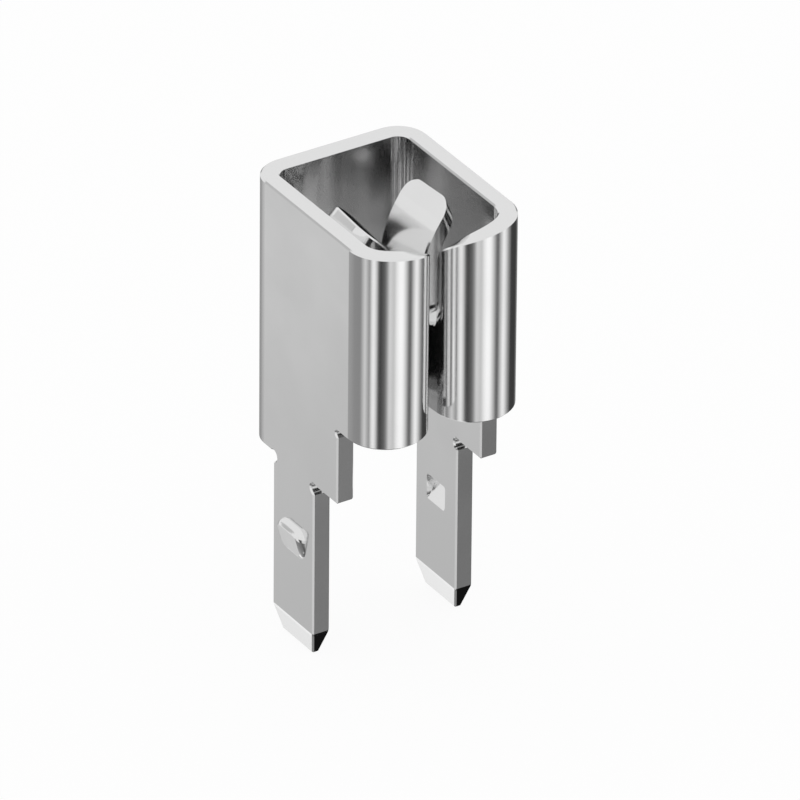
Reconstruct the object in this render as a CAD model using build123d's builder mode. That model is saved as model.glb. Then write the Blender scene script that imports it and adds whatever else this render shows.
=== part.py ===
from build123d import *
from math import cos, radians, sin, sqrt, tan
import os

# Driving dimensions, in millimetres and degrees.
# The origin is the middle of the back wall's lower edge, which rests on the board. +Z points out
# of the board, +X from the back wall towards the slot between the two curls, Y from leg to leg.

# Sheet, and the small break on its cut edges
sheet = 0.6
edge_break = 0.05

# Plan of the folded box
leg_pitch = 5.08
leg_to_back = 2.38
back_bend_inside = 0.4
curl_inside = 0.7
leg_to_curl_centre = 3.06
spring_toe_in = 4

# Heights above the board
rim_height = 9.1
curl_bottom = 2.55

# Legs
leg_width = 2.3
leg_straight = 5.3
tip_length = 0.82
tip_inset = 0.3
tip_thickness = 0.22
shoulder_reach = 1.32
relief_radius = 0.18
relief_drop = 0.13
shoulder_relief_radius = 0.1

# Retention bumps, stamped outwards in the legs, and the pockets that they leave behind
bump_depth = 2.42
bump_proud = 0.16
bump_slant = 15
base_width = 1.42
base_height = 1.06
base_corner = 0.4
flank_width = 1.3
flank_height = 0.96
flank_corner = 0.28
crest_width = 1.03
crest_height = 0.78
crest_corner = 0.14
crest_drop = 0.04
pocket_slant = 27
pocket_depth = 0.2
mouth_width = 1.05
mouth_height = 0.9
floor_width = 0.9
floor_height = 0.74
floor_drop = 0.05
pocket_corner = 0.1

# Curls: their top corner is rounded off towards the slot
corner_radius = 3.05
corner_start = 50
corner_stations = 8
corner_over = 12
corner_cut_clearance = 0.06

# Springs: the sheet's two ends, which return inside and rise into the contact fingers
notch_setback = 0.12
notch_width = 0.8
notch_foot = 0.12
finger_width = 2.08
finger_tip_radius = 0.5
finger_bend_outside = 3.5
near_bend_drop = 3.18
near_lean = 46
near_tip_gap = 0.1637
far_bend_drop = 2.68
far_lean = 37.5
far_tip_gap = 0.5243
far_tip_slope = 29

# Worked out from the dimensions above
half_pitch = leg_pitch / 2
wall_face = half_pitch + sheet / 2
wall_inside = half_pitch - sheet / 2
curl_mid = curl_inside + sheet / 2
curl_offset = half_pitch - curl_mid
curl_sweep = 180 - spring_toe_in
curl_x = leg_to_back + leg_to_curl_centre
leg_front = leg_to_back + leg_width / 2
leg_rear = leg_to_back - leg_width / 2
return_length = notch_setback + notch_width + finger_width
notch_bottom = rim_height - max(near_bend_drop, far_bend_drop) - notch_foot - notch_width / 2
over = 1.0
weld = 0.02


def corner_drop(along):
    """Depth of a curl's top edge below the rim, so far along the sheet past the corner's start."""
    return corner_radius - sqrt(corner_radius**2 - max(0.0, along) ** 2)


def curl_station(side, turned):
    """Radial plane through one curl, after it has turned so many degrees from its side wall."""
    bearing = radians(90 - turned)
    return Plane(
        origin=(curl_x, side * curl_offset, rim_height),
        x_dir=(cos(bearing), side * sin(bearing), 0),
        z_dir=(side * sin(bearing), -cos(bearing), 0),
    )


def leg_plane(side, out, height, slant=0):
    """Plane on a leg, facing out of the box, at a distance from the middle and a height."""
    tilt = radians(slant)
    return Plane(
        origin=(leg_to_back, side * out, height),
        x_dir=(-side, 0, 0),
        z_dir=(0, side * cos(tilt), -sin(tilt)),
    )


def corners_between_faces(solid, least_angle=10):
    """Edges at which two faces of a solid meet at an angle, rather than run on smoothly."""
    neighbours = {}
    for face in solid.faces():
        for edge in face.edges():
            neighbours.setdefault(edge, []).append(face)
    found = ShapeList()
    for edge, faces in neighbours.items():
        normals = [face.normal_at(edge @ 0.5) for face in faces]
        if len(normals) == 2 and normals[0].get_angle(normals[1]) > least_angle:
            found.append(edge)
    return found


with BuildPart() as fuse_clip:
    # Back wall, its two bends and the side walls, as one folded band
    with BuildSketch(Plane.XY.offset(-leg_straight)):
        with BuildLine():
            FilletPolyline(
                (curl_x, -half_pitch),
                (0, -half_pitch),
                (0, half_pitch),
                (curl_x, half_pitch),
                radius=back_bend_inside + sheet / 2,
            )
        trace(line_width=sheet)
    extrude(amount=leg_straight + rim_height)

    # Side outline of the band: walls, shoulders that stop on the board, and legs
    with BuildSketch(Plane.XZ):
        with BuildLine():
            Polyline(
                (-over, rim_height),
                (curl_x, rim_height),
                (curl_x, curl_bottom),
                (leg_front + shoulder_reach, curl_bottom),
                (leg_front + shoulder_reach, 0),
                (leg_front, 0),
                (leg_front, -leg_straight),
                (leg_rear, -leg_straight),
                (leg_rear, 0),
                (-over, 0),
                close=True,
            )
        make_face()
        with Locations((leg_front, -relief_drop), (leg_rear, -relief_drop)):
            Circle(relief_radius, mode=Mode.SUBTRACT)
        with Locations((leg_front + shoulder_reach, curl_bottom - shoulder_relief_radius)):
            Circle(shoulder_relief_radius, mode=Mode.SUBTRACT)
    extrude(amount=leg_pitch, both=True, mode=Mode.INTERSECT)

    for side in (-1, 1):
        # Curl, rolled inwards from the front of the side wall
        with BuildSketch(Plane.XY.offset(curl_bottom)):
            with BuildLine():
                curl = CenterArc(
                    (curl_x, side * curl_offset),
                    curl_mid,
                    side * 90,
                    -side * curl_sweep,
                )
            trace(line_width=sheet)
        extrude(amount=rim_height - curl_bottom)

        # Spring leg, which returns inside: notched behind the curl, and cut low under the finger
        spring_root = curl @ 1
        spring_way = curl % 1
        bend_height = rim_height - (far_bend_drop if side > 0 else near_bend_drop)
        lean = far_lean if side > 0 else near_lean
        tip_gap = far_tip_gap if side > 0 else near_tip_gap
        tip_slope = far_tip_slope if side > 0 else 0
        finger_front = notch_setback + notch_width
        with BuildSketch(Plane(origin=spring_root, x_dir=spring_way, z_dir=spring_way.cross(Vector(0, 0, 1)))):
            with BuildLine():
                Polyline(
                    (finger_front, notch_bottom + notch_width / 2),
                    (finger_front, bend_height),
                    (return_length, bend_height),
                    (return_length, curl_bottom),
                    (0, curl_bottom),
                    (0, rim_height),
                    (notch_setback, rim_height),
                    (notch_setback, notch_bottom + notch_width / 2),
                )
                ThreePointArc(
                    (notch_setback, notch_bottom + notch_width / 2),
                    (notch_setback + notch_width / 2, notch_bottom),
                    (finger_front, notch_bottom + notch_width / 2),
                )
            make_face()
        extrude(amount=sheet / 2, both=True)

        # Top corner of the sheet, rounded off around the curl and into the spring leg
        for station in range(corner_stations):
            turned = corner_start + station * (curl_sweep + corner_over - corner_start) / (corner_stations - 1)
            drop = corner_drop(radians(turned - corner_start) * curl_mid)
            with BuildSketch(curl_station(side, turned)):
                with Locations((curl_mid, (over - drop) / 2)):
                    Rectangle(sheet + 2 * corner_cut_clearance, over + drop)
        loft(mode=Mode.SUBTRACT)

        # Contact finger, bent away from the blade's slot
        finger_middle = spring_root + spring_way * (finger_front + finger_width / 2)
        finger_plane = Plane(
            origin=(finger_middle.X, finger_middle.Y, bend_height),
            x_dir=spring_way.cross(Vector(0, 0, side)),
            z_dir=spring_way * -side,
        )
        with BuildSketch(finger_plane):
            with BuildLine():
                finger_mid = finger_bend_outside - sheet / 2
                bend = CenterArc((finger_mid, 0), finger_mid, 180, -lean)
                along = bend % 1
                across = along.rotate(Axis.Z, -90) * sheet
                reach = (wall_inside - tip_gap - abs(finger_middle.Y)) / cos(radians(spring_toe_in))
                tip_run = (reach - (bend @ 1 + across / 2).X) / along.X
                tip = bend @ 1 + along * tip_run
                Line(bend @ 1, tip)
            trace(line_width=sheet)
            recess = along * (sheet * tan(radians(tip_slope)))
            tip_front = tip - across / 2
            if tip_slope:
                # End cut aslant, so that the finger runs out thin at its tip
                with BuildLine():
                    Polyline(
                        tip_front,
                        tip_front + across * 2,
                        tip_front + (across - recess) * 2,
                        close=True,
                    )
                make_face(mode=Mode.SUBTRACT)
        extrude(amount=finger_width / 2, both=True)
        tip_middle = finger_plane.from_local_coords(tip - recess / 2)
        tip_edges = fuse_clip.faces(Select.LAST).sort_by_distance(tip_middle)[0].edges()
        fillet(tip_edges.sort_by(SortBy.LENGTH)[:2], radius=min(finger_tip_radius, tip_run - weld))

        # Leg's tip, tapered on all four sides
        with BuildSketch(Plane.XY.offset(-leg_straight)):
            with Locations((leg_to_back, side * half_pitch)):
                Rectangle(leg_width, sheet)
        with BuildSketch(Plane.XY.offset(-leg_straight - tip_length)):
            with Locations((leg_to_back, side * half_pitch)):
                Rectangle(leg_width - 2 * tip_inset, tip_thickness)
        loft(ruled=True)

    # Small break on the cut edges
    chamfer(corners_between_faces(fuse_clip.part), length=edge_break)

    for side in (-1, 1):
        # Retention bump, with a steep top that catches under the board
        for plane, width, height, corner in (
            (leg_plane(side, wall_face - weld, -bump_depth), base_width, base_height, base_corner),
            (
                leg_plane(side, wall_face + bump_proud / 2, -bump_depth - crest_drop / 2, bump_slant / 2),
                flank_width,
                flank_height,
                flank_corner,
            ),
            (
                leg_plane(side, wall_face + bump_proud, -bump_depth - crest_drop, bump_slant),
                crest_width,
                crest_height,
                crest_corner,
            ),
        ):
            with BuildSketch(plane):
                outline = Rectangle(width, height)
                fillet(outline.vertices().group_by(Axis.Z)[-1], radius=corner)
        loft()

        # Pocket behind the bump, with a floor that slopes out at the bottom
        with BuildSketch(leg_plane(side, wall_inside - weld, -bump_depth)):
            mouth = Rectangle(mouth_width, mouth_height)
            fillet(mouth.vertices(), radius=pocket_corner)
        with BuildSketch(leg_plane(side, wall_inside + pocket_depth, -bump_depth - floor_drop, pocket_slant)):
            floor = Rectangle(floor_width, floor_height)
            fillet(floor.vertices(), radius=pocket_corner)
        loft(ruled=True, mode=Mode.SUBTRACT)

fuse_clip.part.label = "fuse_clip"

os.makedirs("parts", exist_ok=True)
export_step(fuse_clip.part, "parts/fuse_clip.step")
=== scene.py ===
import math

import bpy
from mathutils import Matrix, Vector

# Sizes are in millimetres. Colours are sRGB hex, and a grey is written as one of their pairs.
MM = 0.001

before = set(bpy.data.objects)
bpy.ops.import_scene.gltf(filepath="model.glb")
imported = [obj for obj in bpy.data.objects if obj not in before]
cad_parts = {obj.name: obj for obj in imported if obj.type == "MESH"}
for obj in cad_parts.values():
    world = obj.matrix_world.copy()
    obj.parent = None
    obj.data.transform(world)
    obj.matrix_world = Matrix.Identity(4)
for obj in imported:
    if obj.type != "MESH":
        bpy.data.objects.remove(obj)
scene = bpy.context.scene


def note_bounds():
    """Brings the placements of the scene's objects up to date."""
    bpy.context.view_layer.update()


note_bounds()


# Helpers

# The Mix node's sockets share their names, so they go by number
FACTOR, FIRST_COLOUR, SECOND_COLOUR, MIXED_COLOUR = 0, 6, 7, 2


def linear(hex_colour):
    """A six-digit sRGB colour as linear red, green, blue and alpha."""
    parts = [int(hex_colour[i : i + 2], 16) / 255 for i in (0, 2, 4)]
    return [p / 12.92 if p <= 0.04045 else ((p + 0.055) / 1.055) ** 2.4 for p in parts] + [1.0]


def add(tree, kind, settings=None, links=None):
    """Adds one shader node with its settings and the sockets that feed it, by name or number."""
    node = tree.nodes.new(kind)
    for name, value in (settings or {}).items():
        if isinstance(name, int) or name in node.inputs:
            node.inputs[name].default_value = value
        else:
            setattr(node, name, value)
    for name, source in (links or {}).items():
        tree.links.new(source, node.inputs[name])
    return node


def new_material(name):
    """An empty node material."""
    material = bpy.data.materials.new(name)
    material.use_nodes = True
    material.node_tree.nodes.clear()
    return material


# Tin plating

# Brass strip, rolled smooth and plated with bright tin before it is cut and folded. It mirrors
# like a polished metal, slightly softened, and its sheen varies a little from place to place, in
# patches of a few millimetres. The clouds' values mostly lie between the low and the high one.
TIN = "EEEEEE"
TIN_SMOOTHEST, TIN_ROUGHEST = 0.10, 0.16
SHEEN_PATCH = 2.857
CLOUD_LOW, CLOUD_HIGH = 0.3, 0.7


def tin_plated_brass():
    """The plated strip that the whole clip is folded from."""
    material = new_material("tin_plated_brass")
    tree = material.node_tree
    place = add(tree, "ShaderNodeTexCoord")
    cloud = add(
        tree,
        "ShaderNodeTexNoise",
        {"Scale": 1 / (SHEEN_PATCH * MM), "Detail": 3.0, "Roughness": 0.55},
        {"Vector": place.outputs["Object"]},
    )
    sheen = add(
        tree,
        "ShaderNodeMapRange",
        {
            "From Min": CLOUD_LOW,
            "From Max": CLOUD_HIGH,
            "To Min": TIN_SMOOTHEST,
            "To Max": TIN_ROUGHEST,
        },
        {"Value": cloud.outputs["Fac"]},
    )
    plating = add(
        tree,
        "ShaderNodeBsdfPrincipled",
        {"Base Color": linear(TIN), "Metallic": 1.0},
        {"Roughness": sheen.outputs["Result"]},
    )
    add(tree, "ShaderNodeOutputMaterial", None, {"Surface": plating.outputs["BSDF"]})
    return material


tin = tin_plated_brass()
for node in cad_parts.values():
    for slot in node.material_slots:
        slot.material = tin


# Floor

# Matt white paper just under the tips of the legs, which the tin doesn't mirror. To the camera it
# is nearly plain white, and it keeps a trace of the clip's shadow.
TIP_HEIGHT = -6.12
FLOOR_GAP = 0.02
FLOOR_SPAN = 4000
FLOOR_WHITE = 0.92


def floor_paper():
    """The paper, whitened for the camera alone."""
    material = new_material("floor_paper")
    tree = material.node_tree
    matt = add(tree, "ShaderNodeBsdfDiffuse", {"Color": linear("FFFFFF")})
    plain = add(tree, "ShaderNodeEmission", {"Color": linear("FFFFFF"), "Strength": 1.0})
    ray = add(tree, "ShaderNodeLightPath")
    share = add(
        tree,
        "ShaderNodeMath",
        {"operation": "MULTIPLY", 1: FLOOR_WHITE},
        {0: ray.outputs["Is Camera Ray"]},
    )
    pale = add(
        tree,
        "ShaderNodeMixShader",
        None,
        {0: share.outputs["Value"], 1: matt.outputs["BSDF"], 2: plain.outputs["Emission"]},
    )
    add(tree, "ShaderNodeOutputMaterial", None, {"Surface": pale.outputs["Shader"]})
    return material


floor_height = TIP_HEIGHT - FLOOR_GAP
bpy.ops.mesh.primitive_plane_add(size=FLOOR_SPAN * MM, location=(0, 0, floor_height * MM))
floor = bpy.context.object
floor.name = "floor"
floor.visible_glossy = False
floor.data.materials.append(floor_paper())


# Studio

# Pale and dark panels around the clip, below the horizon, which make the stripes on its curls.
# Each is a direction in the plan, in degrees from +X towards +Y, and the grey that the tin shows
# for it.
PANELS = (
    (-180, "90"),
    (-167, "A8"),
    (-156, "C2"),
    (-148, "CE"),
    (-142, "A4"),
    (-124, "88"),
    (-102, "84"),
    (-88, "CD"),
    (-75, "88"),
    (-69, "DC"),
    (-63, "EE"),
    (-57, "C6"),
    (-51, "58"),
    (-46, "3A"),
    (-34, "60"),
    (-28, "92"),
    (-22, "D4"),
    (-10, "C0"),
    (-2, "E8"),
    (6, "FA"),
    (14, "F6"),
    (21, "D2"),
    (32, "6C"),
    (37, "58"),
    (45, "B8"),
    (55, "F0"),
    (61, "E2"),
    (74, "90"),
    (86, "3A"),
    (114, "38"),
    (140, "94"),
    (180, "90"),
)

# A lower row of panels, which the faces that slope underneath mirror
LOW_PANELS = (
    (-180, "90"),
    (-171, "A0"),
    (-167, "E8"),
    (-162, "F6"),
    (-150, "F0"),
    (-120, "90"),
    (-60, "70"),
    (0, "30"),
    (40, "12"),
    (90, "12"),
    (130, "60"),
    (180, "90"),
)

# The pale surround above the horizon, which the rim mirrors
SURROUND = "EE"

# Heights between which the low row passes into the upper one, and that into the surround. Each
# is the upward share of a direction: -1 is straight down and 0 is level.
LOW_PANELS_FULL, LOW_PANELS_END = -0.62, -0.54
SURROUND_START, SURROUND_FULL = -0.12, 0.0

# The panels that the near wall mirrors darken towards the floor: the directions in the plan
# where that begins and is full, the heights where it begins and is full, and by how much
DARKER_START, DARKER_FULL = -122.4, -140.4
DARKER_TOP, DARKER_FOOT = -0.499, -0.5205
DARKER_SHARE = 0.27

# A small grey card, which the end of the near finger mirrors: its direction, and the cosines of
# the angles from there at which its soft edge begins and it is full
CARD_DIRECTION = (-0.727, -0.524, 0.443)
CARD_EDGE, CARD_FULL = 0.988, 0.9945
CARD = "BE"


def share_of_turn(azimuth):
    """A direction in the plan, in degrees, as the radial gradient gives it, from 0 to 1."""
    return azimuth / 360 + 0.5


def set_out_panels(row, panels):
    """Sets out panels on the colour ramp of a row, brighter by the light that the tin takes away."""
    elements = row.color_ramp.elements
    for azimuth, grey in panels:
        place = share_of_turn(azimuth)
        element = elements[-int(place)] if place in (0, 1) else elements.new(place)
        element.color = [c / linear(TIN)[0] for c in linear(grey * 3)[:3]] + [1.0]


def make_studio():
    """The world: what the tin mirrors around the clip, and plain white to the camera."""
    world = bpy.data.worlds.new("studio")
    world.use_nodes = True
    tree = world.node_tree
    tree.nodes.clear()
    heading = add(tree, "ShaderNodeTexCoord").outputs["Generated"]
    plan = add(tree, "ShaderNodeTexGradient", {"gradient_type": "RADIAL"}, {"Vector": heading})
    bearing = plan.outputs["Fac"]
    height = add(tree, "ShaderNodeSeparateXYZ", None, {"Vector": heading}).outputs["Z"]

    # Upper row of panels, darker where the near wall mirrors it low down
    panels = add(tree, "ShaderNodeValToRGB", None, {"Fac": bearing})
    set_out_panels(panels, PANELS)
    darker_side = add(
        tree,
        "ShaderNodeMapRange",
        {
            "interpolation_type": "SMOOTHSTEP",
            "From Min": share_of_turn(DARKER_START),
            "From Max": share_of_turn(DARKER_FULL),
        },
        {"Value": bearing},
    )
    darker_foot = add(
        tree,
        "ShaderNodeMapRange",
        {"From Min": DARKER_TOP, "From Max": DARKER_FOOT, "To Max": DARKER_SHARE},
        {"Value": height},
    )
    darker = add(
        tree,
        "ShaderNodeMath",
        {"operation": "MULTIPLY"},
        {0: darker_side.outputs["Result"], 1: darker_foot.outputs["Result"]},
    )
    shaded_panels = add(
        tree,
        "ShaderNodeMix",
        {"data_type": "RGBA", SECOND_COLOUR: linear("000000")},
        {FACTOR: darker.outputs["Value"], FIRST_COLOUR: panels.outputs["Color"]},
    )

    # Lower row, under the upper one
    low_panels = add(tree, "ShaderNodeValToRGB", None, {"Fac": bearing})
    set_out_panels(low_panels, LOW_PANELS)
    over_low_row = add(
        tree,
        "ShaderNodeMapRange",
        {
            "interpolation_type": "SMOOTHSTEP",
            "From Min": LOW_PANELS_FULL,
            "From Max": LOW_PANELS_END,
        },
        {"Value": height},
    )
    both_rows = add(
        tree,
        "ShaderNodeMix",
        {"data_type": "RGBA"},
        {
            FACTOR: over_low_row.outputs["Result"],
            FIRST_COLOUR: low_panels.outputs["Color"],
            SECOND_COLOUR: shaded_panels.outputs[MIXED_COLOUR],
        },
    )

    # Surround, above both rows
    over_rows = add(
        tree,
        "ShaderNodeMapRange",
        {
            "interpolation_type": "SMOOTHSTEP",
            "From Min": SURROUND_START,
            "From Max": SURROUND_FULL,
        },
        {"Value": height},
    )
    surrounded = add(
        tree,
        "ShaderNodeMix",
        {"data_type": "RGBA", SECOND_COLOUR: linear(SURROUND * 3)},
        {FACTOR: over_rows.outputs["Result"], FIRST_COLOUR: both_rows.outputs[MIXED_COLOUR]},
    )

    # Card, in front of the surround
    towards_card = add(
        tree,
        "ShaderNodeVectorMath",
        {"operation": "DOT_PRODUCT", 1: CARD_DIRECTION},
        {0: heading},
    )
    on_card = add(
        tree,
        "ShaderNodeMapRange",
        {"interpolation_type": "SMOOTHSTEP", "From Min": CARD_EDGE, "From Max": CARD_FULL},
        {"Value": towards_card.outputs["Value"]},
    )
    mirrored = add(
        tree,
        "ShaderNodeMix",
        {"data_type": "RGBA", SECOND_COLOUR: linear(CARD * 3)},
        {FACTOR: on_card.outputs["Result"], FIRST_COLOUR: surrounded.outputs[MIXED_COLOUR]},
    )

    # What the tin mirrors, and the white that the camera sees
    glow = add(
        tree,
        "ShaderNodeBackground",
        {"Strength": 1.0},
        {"Color": mirrored.outputs[MIXED_COLOUR]},
    )
    plain = add(tree, "ShaderNodeBackground", {"Color": linear("FFFFFF"), "Strength": 1.0})
    ray = add(tree, "ShaderNodeLightPath")
    shown = add(
        tree,
        "ShaderNodeMixShader",
        None,
        {
            0: ray.outputs["Is Camera Ray"],
            1: glow.outputs["Background"],
            2: plain.outputs["Background"],
        },
    )
    add(tree, "ShaderNodeOutputWorld", None, {"Surface": shown.outputs["Shader"]})
    return world


scene.world = make_studio()


# Camera

# Turned from the -Y side towards +X, raised and slightly rolled. It stands far off, and its lens
# is worked out from the picture's scale there, with the picture's width in pixels. It looks at a
# point on the clip's middle plane, with a small shift to the right and up.
AZIMUTH, ELEVATION, ROLL = math.radians(57.694), math.radians(30.549), math.radians(0.508)
DISTANCE = 442.7
PIXELS_PER_MM = 33.286
PICTURE_WIDTH = 800
SENSOR_WIDTH = 36
LOOK_AT = Vector((2.6, 0, 1.5))
SHIFT_RIGHT, SHIFT_UP = 0.665, 0.122
NEAREST, FARTHEST = 10, 10000


def make_camera():
    """The camera, set for the photo's view from above and the open side."""
    back = Vector(
        (
            math.sin(AZIMUTH) * math.cos(ELEVATION),
            -math.cos(AZIMUTH) * math.cos(ELEVATION),
            math.sin(ELEVATION),
        )
    )
    right = Vector((math.cos(AZIMUTH), math.sin(AZIMUTH), 0))
    up = back.cross(right)
    aim = LOOK_AT * MM + right * SHIFT_RIGHT * MM + up * SHIFT_UP * MM
    stand = Matrix.Translation(aim + back * (DISTANCE * MM))
    turn = Matrix((right, up, back)).transposed().to_4x4()
    camera = bpy.data.objects.new("camera", bpy.data.cameras.new("camera"))
    camera.data.sensor_width = SENSOR_WIDTH
    camera.data.lens = SENSOR_WIDTH * PIXELS_PER_MM * DISTANCE / PICTURE_WIDTH
    camera.data.clip_start = NEAREST * MM
    camera.data.clip_end = FARTHEST * MM
    camera.matrix_world = stand @ turn @ Matrix.Rotation(ROLL, 4, "Z")
    return camera


scene.camera = make_camera()
scene.collection.objects.link(scene.camera)
scene.view_settings.view_transform = "Standard"

note_bounds()
